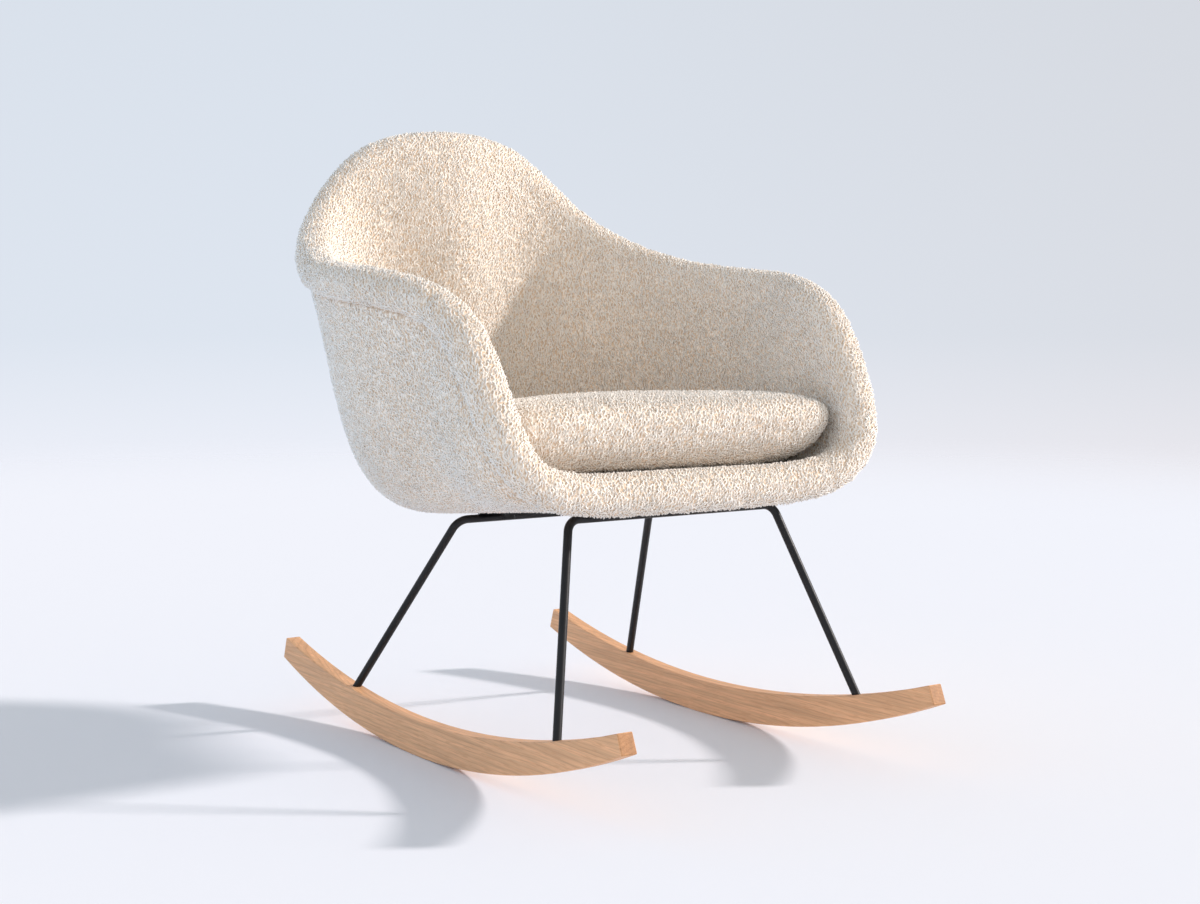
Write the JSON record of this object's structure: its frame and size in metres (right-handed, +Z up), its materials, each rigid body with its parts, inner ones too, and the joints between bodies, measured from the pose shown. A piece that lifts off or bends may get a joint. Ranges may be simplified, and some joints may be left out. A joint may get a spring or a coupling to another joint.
{
  "type": "upholstered rocking chair",
  "caption": "Padded bucket armchair with a rolled rim and a loose seat cushion, on splayed bent rod legs that stand on curved wooden rockers.",
  "frame": {"origin": "on the floor, under the middle of the chair's box: half way between the rocker ends and between the two sides", "axes": "the chair faces -Y, +X is the sitter's left and +Z is up"},
  "size_m": [0.6446, 0.8111, 0.776],
  "materials": {
    "boucle": "matte",
    "foam": "matte",
    "shell": "matte",
    "spacer": "satin",
    "rod": "satin",
    "fastener": "satin",
    "oak": "satin"
  },
  "bodies": {
    "chair": {"seat_shell": "shell", "inner_pad": "foam", "outer_pad": "foam", "rim_roll": "foam", "grip_strip": "shell", "inner_cover": "boucle", "outer_cover": "boucle", "front_leg_rod": "rod", "rear_leg_rod": "rod", "left_mount_bar": "rod", "right_mount_bar": "rod", "seat_bolts": "fastener", "seat_washers": "fastener", "seat_spacers": "spacer", "shell_nuts": "fastener", "left_rocker": "oak", "right_rocker": "oak"},
    "cushion": {"cushion_core": "foam", "cushion_top_cover": "boucle", "cushion_base_cover": "boucle"}
  },
  "joints": [
    {"name": "cushion_lift", "type": "slide", "parent": "chair", "child": "cushion", "axis": [0, 0, 1], "range_m": [0, 0.3]}
  ]
}
